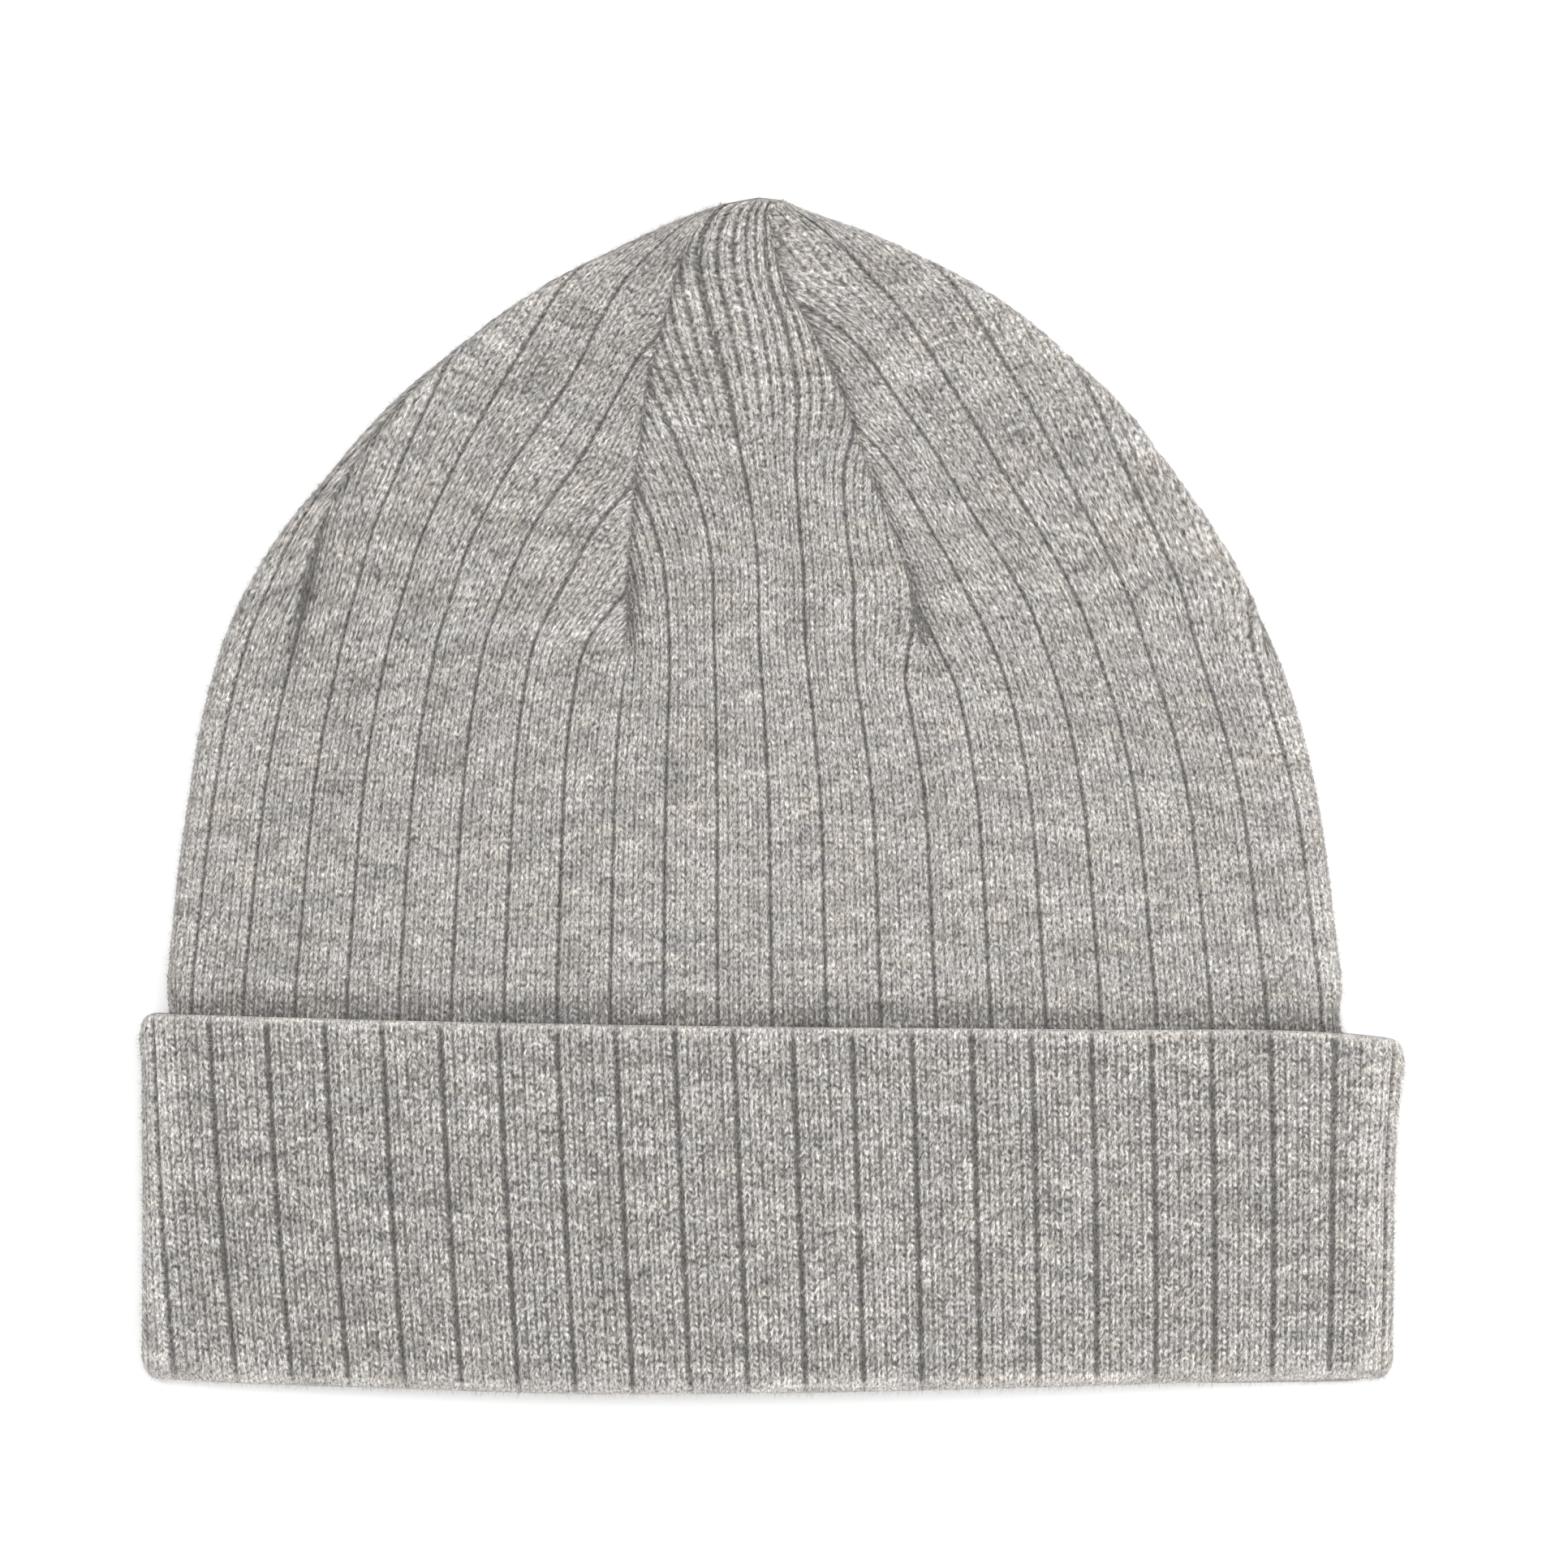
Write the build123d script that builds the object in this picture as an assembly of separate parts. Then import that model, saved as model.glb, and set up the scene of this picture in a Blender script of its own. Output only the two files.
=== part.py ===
from build123d import *
import os

# A rib-knit beanie with a deep turned-up cuff, lying flat on a table on its back.
# X runs across the hat, Y from the rim to the crown, Z up through its thickness.
# Everything is drawn with y = 0 at the rim, then moved so that the origin lies
# under the middle of the hat, on the table.

# ---- driving dimensions, mm ----
HEIGHT = 215.0           # rim to crown tip
CUFF_HALF_WIDTH = 114.0  # half the width of the cuff, laid flat
CUFF_DEPTH_LEFT = 67.2   # rim to the cuff's free edge, at its left corner
CUFF_DEPTH_SEAM = 64.0   # the same where the body's right side comes out
CUFF_DEPTH_RIGHT = 62.2  # the same at its right corner
LAYER = 2.2              # one layer of the rib knit
CLEARANCE = 0.3          # between the cuff and the body it is turned up over
POCKET = 8.0             # greatest gap between front and back, where the head goes
RIM_SAG = 1.7            # how far the rim bows down between its corners
CORNER = 6.0             # radius of the cuff's corners, seen from above

# ---- sizes that follow ----
BODY_SIDE = 2 * LAYER                                  # two layers meet at each side fold
BODY_RISE = LAYER + CLEARANCE                          # the cuff's back layer lies below the body
BODY_TOP = BODY_RISE + 2 * LAYER + POCKET              # highest point of the body
CUFF_SIDE = BODY_SIDE + 2 * (LAYER + CLEARANCE)        # four layers meet at the cuff's sides
CUFF_TOP = BODY_TOP + CLEARANCE + LAYER                # highest point of the hat
BODY_RIM = RIM_SAG + LAYER + CLEARANCE                 # where the body's inner layer ends
STEP_START = CUFF_DEPTH_LEFT + 0.5                     # the back comes down to the table here
STEP_END = STEP_START + 17.0
SIDE_WALL = 3.0                                        # from the outline to the head pocket
POCKET_EDGE = 0.5                                      # height of the pocket at its sides

# Outline of the body: height above the rim, left side, right side, top of the front layer.
OUTLINE = [
    (BODY_RIM, -111.2, 110.6, BODY_TOP),
    (36.0, -110.3, 107.2, BODY_TOP),
    (STEP_START, -108.9, 104.0, BODY_TOP),
    (STEP_END, -107.4, 102.2, BODY_TOP + 0.2),
    (106.6, -104.7, 99.1, BODY_TOP + 0.3),
    (118.4, -102.8, 96.5, BODY_TOP + 0.3),
    (130.1, -99.8, 92.8, BODY_TOP + 0.2),
    (141.9, -95.3, 87.8, BODY_TOP),
    (153.7, -88.5, 81.2, 14.2),
    (165.4, -79.0, 73.0, 13.2),
    (177.2, -68.2, 64.1, 11.8),
    (189.0, -55.0, 51.6, 10.2),
    (195.0, -47.0, 44.3, 9.3),
    (200.8, -37.9, 34.9, 8.3),
    (206.6, -26.2, 23.1, 7.3),
    (210.0, -19.2, 15.0, 6.6),
    (212.6, -12.3, 7.2, 6.0),
    (HEIGHT, -5.2, 1.6, 5.2),
]
POCKET_END = 206.0       # the head pocket stops here, short of the crown tip

# Seams: the linked darts that draw the crown in, and the seam down the back.
SEAM_WIDTH = 2.4
SEAM_BITE = 1.0          # how deep a seam sits in its layer
SEAM_PROUD = 0.4         # how far it stands out on the inside
SEAM_X = -1.8            # centre line of the back seam and of the crown tip
CUFF_SEAM_THICK = 1.2
TIE_RADIUS = 2.0
TIE_Y = 210.6
LABEL = (20.0, 35.0, 0.8)
LABEL_Y = 90.0

# Routes of the darts, from their foot to the crown, as x and height above the rim.
# The outer pair of the front is near the side folds. The back seam is shaped like a seventh dart.
FRONT_DARTS = {
    "dart_seam_side_left": [(-84.0, 140.0), (-77.0, 155.0), (-64.0, 171.0), (-48.0, 185.5), (-33.0, 195.5)],
    "dart_seam_front_left": [(-25.0, 133.0), (-25.5, 146.0), (-24.0, 167.0), (-20.0, 190.0), (-14.5, 205.0)],
    "dart_seam_front_right": [(27.7, 139.0), (23.2, 152.4), (16.2, 171.0), (8.2, 190.0), (1.5, 204.0)],
    "dart_seam_side_right": [(78.0, 146.0), (69.0, 160.0), (56.5, 173.0), (41.0, 186.0), (29.0, 194.0)],
}
BACK_DARTS = {
    "dart_seam_back_left": [(-60.0, 137.0), (-56.0, 152.0), (-46.0, 171.0), (-32.0, 190.0), (-20.0, 202.0)],
    "dart_seam_back_right": [(57.0, 137.0), (53.0, 152.0), (43.0, 171.0), (29.0, 190.0), (17.0, 201.0)],
}


def rise(y):
    """Height of the body's underside above the table."""
    if y <= STEP_START:
        return BODY_RISE
    if y >= STEP_END:
        return 0.0
    return BODY_RISE * (STEP_END - y) / (STEP_END - STEP_START)


def outline_at(y):
    """Left side, right side and top of the body at a height above the rim."""
    for low, high in zip(OUTLINE, OUTLINE[1:]):
        if y <= high[0]:
            t = (y - low[0]) / (high[0] - low[0])
            return [a + t * (b - a) for a, b in zip(low[1:], high[1:])]
    return list(OUTLINE[-1][1:])


def arched_face(y, left, right, bottom, side, top):
    """A section across the hat: flat below, round at both ends, gently arched above."""
    r = side / 2
    floor_left = (left + r, y, bottom)
    floor_right = (right - r, y, bottom)
    shoulder_left = (left + r, y, bottom + side)
    shoulder_right = (right - r, y, bottom + side)
    crest = ((left + right) / 2, y, top)
    edges = [
        Edge.make_line(floor_left, floor_right),
        Edge.make_three_point_arc(floor_right, (right, y, bottom + r), shoulder_right),
        Edge.make_three_point_arc(shoulder_right, crest, shoulder_left),
        Edge.make_three_point_arc(shoulder_left, (left, y, bottom + r), floor_left),
    ]
    return Face(Wire(edges))


def pocket_face(y, grow=0.0):
    """A section of the hollow between front and back; grow moves its roof up."""
    left, right, _ = outline_at(y + SIDE_WALL)
    left = left + SIDE_WALL
    right = right - SIDE_WALL
    floor = rise(y) + LAYER
    eaves = floor + POCKET_EDGE + grow
    top = outline_at(y)[2] - LAYER + grow
    edges = [
        Edge.make_line((left, y, floor), (right, y, floor)),
        Edge.make_line((right, y, floor), (right, y, eaves)),
        Edge.make_three_point_arc((right, y, eaves), ((left + right) / 2, y, top), (left, y, eaves)),
        Edge.make_line((left, y, eaves), (left, y, floor)),
    ]
    return Face(Wire(edges))


def pocket(grow=0.0):
    """The head pocket, from the open rim to just short of the crown tip."""
    stations = [-1.0] + [row[0] for row in OUTLINE if row[0] < POCKET_END] + [POCKET_END]
    return loft([pocket_face(y, grow) for y in stations], ruled=True)


def ribbon(points, low, high):
    """An upright slab of seam width along a route, between two heights."""
    path = Polyline(*[(x, y, low) for x, y in points])
    start = Plane(origin=path @ 0, z_dir=path % 0, x_dir=(0, 0, 1))
    section = start * Pos((high - low) / 2, 0) * Rectangle(high - low, SEAM_WIDTH)
    return sweep(section, path=path, transition=Transition.RIGHT)


def back_seam_prism():
    """The seam strip down the inside of the back, from near the tip to the rim."""
    low = LAYER - SEAM_BITE
    high = LAYER + SEAM_PROUD
    knees = [BODY_RIM + 1.0, STEP_START, STEP_END, POCKET_END - 4.0]
    under = [(SEAM_X, y, rise(y) + low) for y in knees]
    over = [(SEAM_X, y, rise(y) + high) for y in reversed(knees)]
    side = Face(Wire.make_polygon(under + over, close=True))
    return extrude(side, amount=SEAM_WIDTH / 2, dir=(1, 0, 0), both=True)


def make_body():
    """The doubled, flattened dome of knit, open at the rim."""
    stations = [arched_face(y, left, right, rise(y), BODY_SIDE, top) for y, left, right, top in OUTLINE]
    return loft(stations, ruled=True) - pocket()


def make_front_darts():
    """Seam strips that follow the inside of the front layer."""
    band = pocket(grow=SEAM_BITE) - pocket(grow=-SEAM_PROUD)
    return {name: ribbon(route, LAYER + 1.0, BODY_TOP) & band for name, route in FRONT_DARTS.items()}


def make_back_darts():
    """Seam strips on the back layer, where the inside is flat."""
    low = LAYER - SEAM_BITE
    high = LAYER + SEAM_PROUD
    return {name: ribbon(route, low, high) for name, route in BACK_DARTS.items()}


def make_cuff():
    """The turned-up band: a flat tube round the body, closed inwards at the rim."""
    w = CUFF_HALF_WIDTH
    band = extrude(arched_face(0.0, -w, w, 0.0, CUFF_SIDE, CUFF_TOP), amount=CUFF_DEPTH_LEFT, dir=(0, 1, 0))
    body_left = -w
    body_seam_x = OUTLINE[2][2]
    rim_y = RIM_SAG
    top_edge = Polyline(
        (w, rim_y + CORNER), (w, CUFF_DEPTH_RIGHT), (body_seam_x, CUFF_DEPTH_SEAM),
        (body_left, CUFF_DEPTH_LEFT), (body_left, rim_y + CORNER),
    )
    left_turn = RadiusArc((-w, rim_y + CORNER), (-w + CORNER, rim_y), -CORNER)
    rim = ThreePointArc((-w + CORNER, rim_y), (0, 0), (w - CORNER, rim_y))
    right_turn = RadiusArc((w - CORNER, rim_y), (w, rim_y + CORNER), -CORNER)
    plan = make_face(top_edge + left_turn + rim + right_turn)
    band = band & extrude(plan, amount=CUFF_TOP + 1.0)

    inner = w - LAYER
    socket_face = arched_face(
        BODY_RIM - CLEARANCE, -inner, inner, LAYER,
        BODY_SIDE + 2 * CLEARANCE, BODY_TOP + CLEARANCE,
    )
    socket = extrude(socket_face, amount=HEIGHT, dir=(0, 1, 0))
    mouth = extrude(pocket_face(BODY_RIM), amount=HEIGHT, dir=(0, 1, 0), both=True)
    return band - socket - mouth


body = make_body()
cuff = make_cuff()

seams = make_front_darts()
seams.update(make_back_darts())
seams["back_seam"] = back_seam_prism()
for strip in seams.values():
    body = body - strip

tie_tool = Pos(SEAM_X, TIE_Y, LAYER / 2) * Cylinder(
    TIE_RADIUS, BODY_TOP, align=(Align.CENTER, Align.CENTER, Align.MIN))
crown_tie = body & tie_tool
body = body - tie_tool

cuff_seam = Pos(SEAM_X, BODY_RIM + 1.0, LAYER - CUFF_SEAM_THICK) * Box(
    SEAM_WIDTH, CUFF_DEPTH_SEAM - BODY_RIM - 2.0, CUFF_SEAM_THICK,
    align=(Align.CENTER, Align.MIN, Align.MIN))
cuff = cuff - cuff_seam

care_label = Pos(SEAM_X + SEAM_WIDTH / 2, LABEL_Y, LAYER) * Box(
    *LABEL, align=(Align.MIN, Align.MIN, Align.MIN))

nodes = {
    "knit_body": body,
    "turned_up_cuff": cuff,
    "crown_tie": crown_tie,
    "cuff_back_seam": cuff_seam,
    "care_label": care_label,
}
nodes.update(seams)

os.makedirs("parts", exist_ok=True)
for name, piece in nodes.items():
    export_step(Pos(0, -HEIGHT / 2, 0) * piece, f"parts/{name}.step")
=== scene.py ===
import math

import bpy
import numpy as np
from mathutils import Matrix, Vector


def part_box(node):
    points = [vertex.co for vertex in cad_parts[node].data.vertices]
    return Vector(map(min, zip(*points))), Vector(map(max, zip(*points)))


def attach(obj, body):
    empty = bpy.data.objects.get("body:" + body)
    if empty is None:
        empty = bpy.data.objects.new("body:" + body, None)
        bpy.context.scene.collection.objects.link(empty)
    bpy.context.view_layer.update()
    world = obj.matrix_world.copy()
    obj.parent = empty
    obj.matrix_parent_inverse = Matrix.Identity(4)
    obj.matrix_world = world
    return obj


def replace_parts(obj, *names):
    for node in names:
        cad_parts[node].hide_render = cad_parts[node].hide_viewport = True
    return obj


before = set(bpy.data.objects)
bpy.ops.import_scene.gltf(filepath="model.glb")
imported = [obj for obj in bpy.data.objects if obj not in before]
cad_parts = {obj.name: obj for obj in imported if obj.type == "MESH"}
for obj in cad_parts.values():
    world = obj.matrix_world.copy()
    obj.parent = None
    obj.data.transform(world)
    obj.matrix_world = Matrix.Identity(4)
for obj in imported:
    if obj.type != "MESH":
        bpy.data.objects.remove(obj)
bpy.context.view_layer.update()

# A rib-knit beanie with a deep turned-up cuff, lying flat on its back.
# Lengths are in millimetres until a mesh is made; the floor, the lights and the camera are
# in metres. x runs across the hat, y is the height above the rim, z goes up through the
# thickness. Darker places have a higher shade.
# The shade is painted into the yarn's colour: it holds painted shade in the recesses and creases, painted
# light at the edges and folds, and the yarn's random tone.

MM = 0.001
HEIGHT = 215.0            # rim to crown tip, which puts y = 0 at the lower end of the frame
LAYER = 2.2               # one layer of the knit
COURSE = 1.03             # height of one row of stitches
ROW = COURSE / 2          # two rows of vertices to a course
WALES = 5                 # columns of stitches in a rib
RIBS = 44                 # ribs round the hat
SIDE_RIB = 11             # the front layer's ribs run from -11 to 11
SEAM_X = -1.8             # centre line of the back seam and of the crown tip
CUFF_HALF_WIDTH = 114.0
CUFF_TOP = 17.4           # highest point of the hat
CUFF_SIDE = 9.4           # four layers meet at the cuff's side folds
BODY_SIDE = 4.4           # two layers meet at the body's
BODY_RISE = 2.5           # the cuff's back layer lies below the body
STEP_START = 67.7         # from here up to the next height the back comes down to the table
STEP_END = 84.7
BODY_START = 4.8          # the body's own rim, inside the cuff
TIP_ROW = 216.0           # course height at the crown tip

noise_source = np.random.default_rng(11)


# ---- small helpers ----

def smoothstep(low, high, value):
    t = np.clip((value - low) / (high - low), 0.0, 1.0)
    return t * t * (3.0 - 2.0 * t)


def smooth(points, at, column=1):
    """Value at a position on a smooth curve through (position, value, ...) points."""
    table = np.array(points, float)
    x = table[:, 0]
    v = table[:, column]
    slope = np.gradient(v, x)
    i = np.clip(np.searchsorted(x, at) - 1, 0, len(x) - 2)
    h = x[i + 1] - x[i]
    t = np.clip((at - x[i]) / h, 0.0, 1.0)
    a = (1 + 2 * t) * (1 - t) ** 2 * v[i]
    b = t * (1 - t) ** 2 * h * slope[i]
    c = t * t * (3 - 2 * t) * v[i + 1]
    d = t * t * (t - 1) * h * slope[i + 1]
    return a + b + c + d


def undulation(x, y, size, seed, count=7):
    """Gentle random waves over the cloth, from -1 to 1, with wavelengths near a size."""
    source = np.random.default_rng(seed)
    total = np.zeros(np.broadcast(x, y).shape)
    for _ in range(count):
        angle = source.uniform(0, 2 * math.pi)
        wave = 2 * math.pi / (size * source.uniform(0.7, 1.5))
        phase = source.uniform(0, 2 * math.pi)
        total = total + np.sin((x * math.cos(angle) + y * math.sin(angle)) * wave + phase)
    return total / math.sqrt(count) / 1.5


# ---- the flattened tube that both pieces are wrapped on ----

# Outline of the body: height above the rim, left side, right side, top of the front layer.
OUTLINE = [
    (4.2, -111.2, 110.6, 14.9),
    (36.0, -110.3, 107.2, 14.9),
    (67.7, -108.9, 104.0, 14.9),
    (84.7, -107.4, 102.2, 15.1),
    (106.6, -104.7, 99.1, 15.2),
    (118.4, -102.8, 96.5, 15.2),
    (130.1, -99.8, 92.8, 15.1),
    (141.9, -95.3, 87.8, 14.9),
    (153.7, -88.5, 81.2, 14.2),
    (165.4, -79.0, 73.0, 13.2),
    (177.2, -68.2, 64.1, 11.8),
    (189.0, -55.0, 51.6, 10.2),
    (195.0, -47.0, 44.3, 9.3),
    (200.8, -37.9, 34.9, 8.3),
    (206.6, -26.2, 23.1, 7.3),
    (210.0, -19.2, 15.0, 6.6),
    (212.6, -12.3, 7.2, 6.0),
    (215.0, -5.2, 1.6, 5.2),
]

# The free edge of the cuff, as x and height above the rim.
EDGE_LINE = [(-114, 67.2), (-60, 65.9), (0, 65.0), (60, 64.4), (102, 63.6), (114, 62.3)]


class Section:
    """Sections across a flattened tube: flat below, round at both folds, arched above."""

    def __init__(self, left, right, bottom, side, top):
        self.radius = side / 2
        self.middle = (left + right) / 2
        self.flat = (right - left) / 2 - self.radius
        self.bottom = bottom
        lift = top - bottom - side
        self.turn = np.arctan(2 * lift / np.maximum(self.flat, 4.0))
        self.reach = self.flat + self.radius * np.sin(self.turn)
        self.eaves = bottom + self.radius * (1 + np.cos(self.turn))
        self.lift = top - self.eaves
        self.arch = self.reach * (1 + 2 / 3 * (self.lift / self.reach) ** 2)
        self.bend = self.radius * (math.pi - self.turn)
        self.half = self.arch + self.bend + self.flat

    def wrap(self, x, back=False):
        """Distance round the tube, from the middle of the front, of a place seen from above."""
        side = np.sign(x - self.middle)
        out = np.abs(x - self.middle)
        on_arch = out * self.arch / self.reach
        angle = np.arcsin(np.clip((out - self.flat) / self.radius, 0, 1))
        on_fold = self.arch + self.radius * (angle - self.turn)
        front = np.where(out <= self.reach, on_arch, on_fold)
        return side * (self.half - out if back else front)

    def place(self, round_it, depth):
        """x and z of a point, from its distance round the tube and its depth below the surface."""
        side = np.sign(round_it)
        s = np.abs(round_it)
        across = s * self.reach / self.arch
        slope = 2 * self.lift * across / self.reach ** 2
        steep = np.sqrt(1 + slope ** 2)
        arch_z = self.eaves + self.lift * (1 - (across / self.reach) ** 2)
        angle = self.turn + (s - self.arch) / self.radius
        fold_x = self.flat + self.radius * np.sin(angle)
        fold_z = self.bottom + self.radius * (1 + np.cos(angle))
        under_x = self.half - s
        on_arch = s <= self.arch
        under = s > self.arch + self.bend
        x = np.where(on_arch, across, np.where(under, under_x, fold_x))
        z = np.where(on_arch, arch_z, np.where(under, self.bottom, fold_z))
        nx = np.where(on_arch, slope / steep, np.where(under, 0.0, np.sin(angle)))
        nz = np.where(on_arch, 1 / steep, np.where(under, -1.0, np.cos(angle)))
        # In a fold no point is sunk past the fold's own centre.
        sunk = np.where(on_arch | under, depth, np.minimum(depth, self.radius * 0.93))
        return self.middle + side * (x - sunk * nx), z - sunk * nz


def body_section(y):
    left = smooth(OUTLINE, y, 1)
    right = smooth(OUTLINE, y, 2)
    top = smooth(OUTLINE, y, 3)
    bottom = BODY_RISE * (1 - smoothstep(STEP_START, STEP_END, y))
    return Section(left, right, bottom, BODY_SIDE, top)


# ---- the columns of stitches ----

GROOVE, BORDER, LEFT_LEG, CREST, RIGHT_LEG = range(5)


def knit_columns(first, groove_share):
    """Columns of vertices round the tube, as places counted in ribs and what each one is.

    A rib's middle is at a whole number, and first is the place where the ring is cut. On the
    front both legs of each stitch get a column, on the back only the stitch's outline.
    """
    places = []
    kinds = []
    wale = (1 - groove_share) / WALES
    for rib in range(math.floor(first), math.floor(first) + RIBS + 2):
        start = rib - 0.5 + groove_share / 2
        found = [(rib - 0.5, GROOVE)]
        for n in range(WALES):
            found.append((start + n * wale, BORDER))
            if abs(rib) <= SIDE_RIB:
                found.append((start + (n + 0.27) * wale, LEFT_LEG))
            found.append((start + (n + 0.48) * wale, CREST))
            if abs(rib) <= SIDE_RIB:
                found.append((start + (n + 0.74) * wale, RIGHT_LEG))
        found.append((start + WALES * wale, BORDER))
        for place, kind in found:
            if first <= place < first + RIBS:
                places.append(place)
                kinds.append(kind)
    return np.array(places), np.array(kinds)


# Relief and shade of each kind of column, in the order of the kinds above. The shade is painted: grooves,
# valleys and the notches between stitches are coloured darker, as shade falls in them.
GROOVE_DEPTH = 0.95
VALLEY_DEPTH = 0.4        # between two wales
KIND_DEPTH = np.array([GROOVE_DEPTH, VALLEY_DEPTH, 0.0, VALLEY_DEPTH * 0.6, 0.0])
KIND_SHADE = np.array([1.0, 0.8, -0.05, 0.6, -0.05])
NOTCH_DEPTH = np.array([0.0, 0.0, 0.14, 0.0, 0.26])    # between two stitches of a wale
NOTCH_SHADE = np.array([0.0, 0.0, 0.25, 0.0, 0.42])
WOBBLE = 0.06             # random depth of a vertex
SLACK = 0.04              # random depth of a whole column
MOTTLE = 0.26             # random shade of a vertex


def stitch_relief(kinds, places, row_number, crown):
    """How far each vertex of the knit lies below its outer surface, and how dark it is.

    crown is how far a rib's sides lie below its middle. The darkness is painted shade in the grooves,
    valleys and notches, with a random tone on top.
    """
    shape = (len(row_number), len(kinds))
    odd = (row_number % 2 == 1)[:, None]
    rib_place = places - np.round(places)
    depth = crown * (2 * np.abs(rib_place)) ** 4 + KIND_DEPTH[kinds] + odd * NOTCH_DEPTH[kinds]
    wobble = noise_source.normal(0.0, WOBBLE, shape)
    slack = noise_source.normal(0.0, SLACK, len(kinds))
    dark = KIND_SHADE[kinds] + odd * NOTCH_SHADE[kinds] + noise_source.normal(0.0, MOTTLE, shape)
    return depth + wobble + slack, dark


def stitch_places(ribs, rib_width, course, start=0.0):
    """The material's coordinates: how far across the wales and how far along them."""
    across = ribs * rib_width + start + 0 * course
    return np.stack([across, course, 0 * course], axis=-1).reshape(-1, 3)


# Along its wale a stitch's middle is ahead of its borders.
SKEW = np.array([-0.42, -0.42, 0.0, 0.42, 0.0]) * COURSE
# Where the wales are gathered, the two legs of a wale draw together.
LEAN_IN = np.array([0.0, 0.0, 0.24, 0.0, -0.24])


# ---- the gores of the crown ----

FOLD_PUFF = 0.9           # the side folds stand out this much further than the CAD outline
SETTLED = 98.0            # the rows are level up to this height
FAN = 134.0               # from here on the gores alone place the stitches
STRETCH = 1.2             # ribs over which the pull of a seam dies away
GATHER_START = 150        # between these courses all the ribs of a gore begin to narrow
GATHER_END = 172
PLAIN_RIB = 9.0           # width of a rib above the feet of the seams, in the gores at the back
AT_SEAM = 0.004           # a stitch this near a seam, as a share of the gore, is on the seam
FAR_AWAY = 99.0
FRONT_SHIFT = 2.2         # in the middle of the front the ribs lie this far to the left
LAY_SHIFT = 0.3           # and all of them this far to the right
FOLD = 300.0              # an x beyond the outline: the seam runs along the side fold

# Each seam: its foot counted in ribs, the ribs left on either side as the courses go up,
# whether it is on the back, and its line as (course height, x, y).
DARTS = {
    "back_seam": dict(
        foot=-21.8, back=True,
        line=[(134, -1.8, 134), (160, -1.8, 158), (190, -1.8, 188), (205, -1.8, 202), (216, -1.8, 212.8)],
    ),
    "dart_seam_back_left": dict(
        foot=-15.4, back=True,
        line=[(134, -60.5, 136), (150, -55, 154), (165, -47, 169), (180, -36, 183), (195, -24, 196),
              (208, -11, 207.5), (216, -4.8, 213.6)],
    ),
    "dart_seam_side_left": dict(
        foot=-9.65, back=False,
        line=[(134, -87.0, 135.5), (141, -84.2, 146), (148, -81.0, 156.5),
              (156, -74.5, 168), (172, -FOLD, 187), (180, -FOLD, 193.5),
              (190, -FOLD, 200), (200, -FOLD, 206), (208, -FOLD, 210.3), (216, -FOLD, 214.1)],
        right=[(134, -9.65), (148, -9.5), (170, -8.7), (196, -7.6), (216, -7.0)],
    ),
    "dart_seam_front_left": dict(
        foot=-2.5, back=False,
        line=[(134, -25.7, 134), (145.3, -25.6, 145.3), (152.6, -25.1, 152.6),
              (160.1, -24.4, 160.1), (167.2, -23.8, 167.2), (181.3, -21.8, 181.3), (190.3, -19.8, 190.3),
              (199, -17.2, 199.5), (207, -14.6, 206.8), (212, -11.6, 211.2), (216, -7.8, 213.9)],
        left=[(122, -2.5), (132, -2.65), (142.6, -3.45), (154, -3.97), (163, -4.46),
              (172, -4.7), (182, -5.08), (190, -5.5), (216, -6.0)],
        right=[(134, -2.5), (150, -2.1), (163, -1.5), (181, -0.5), (199, 0.2), (216, 0.5)],
    ),
    "dart_seam_front_right": dict(
        foot=3.94, back=False,
        line=[(134, 27.3, 134), (140, 26.4, 140), (146.8, 25.2, 146.8), (152.4, 23.2, 152.4),
              (162.6, 19.4, 162.6), (171, 16.2, 171), (181.3, 12.5, 181.3), (190.3, 8.2, 190.3),
              (198.2, 3.6, 198.2), (207, 0.8, 206.8), (216, 0.4, 214.5)],
        left=[(126, 3.94), (138, 3.55), (155, 3.4), (164, 3.1), (173, 2.5), (199, 1.8), (216, 1.5)],
        right=[(126, 3.94), (140, 4.42), (158, 4.75), (167, 5.1), (174, 5.5),
               (185, 5.85), (196, 6.5), (216, 7.0)],
    ),
    "dart_seam_side_right": dict(
        foot=10.7, back=False,
        line=[(134, 89.6, 135.5), (140, 87.0, 144.5), (146, 82.5, 154), (160, FOLD, 174.5),
              (170, FOLD, 185), (180, FOLD, 193), (190, FOLD, 199.5), (200, FOLD, 205.5),
              (208, FOLD, 210.3), (216, FOLD, 214.9)],
        left=[(134, 10.7), (144, 10.5), (172, 9.6), (197, 8.6), (216, 7.9)],
    ),
    "dart_seam_back_right": dict(
        foot=15.4, back=True,
        line=[(134, 57.3, 136), (150, 52, 154), (165, 44, 169), (180, 33, 183), (195, 21, 196),
              (208, 8, 207.5), (216, 1.2, 213.6)],
    ),
}
DART_NAMES = list(DARTS)

# Each front gore: its last remaining column, the width of a rib above the feet of its seams,
# and where that column runs between the two seams, by course height.
MIDDLES = {
    "dart_seam_side_left": (
        -6.5, 9.0, [(134, 0.45), (160, 0.52), (180, 0.58), (200, 0.46), (216, 0.5)],
    ),
    "dart_seam_front_left": (
        1.0, 7.9, [(134, 0.52), (171, 0.59), (199, 0.64), (216, 0.6)],
    ),
    "dart_seam_front_right": (
        7.2, 9.2,
        [(122, 0.46), (134, 0.443), (142, 0.42), (150, 0.405), (180, 0.39), (200, 0.43), (216, 0.5)],
    ),
}


def level_lay(ribs, w):
    """Distance round the body of a place counted in ribs, on the straight part."""
    section = body_section(w)
    pitch = 2 * section.half / RIBS
    return pitch * ribs - FRONT_SHIFT * np.cos(math.pi * ribs / (RIBS / 2)) + LAY_SHIFT


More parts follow.
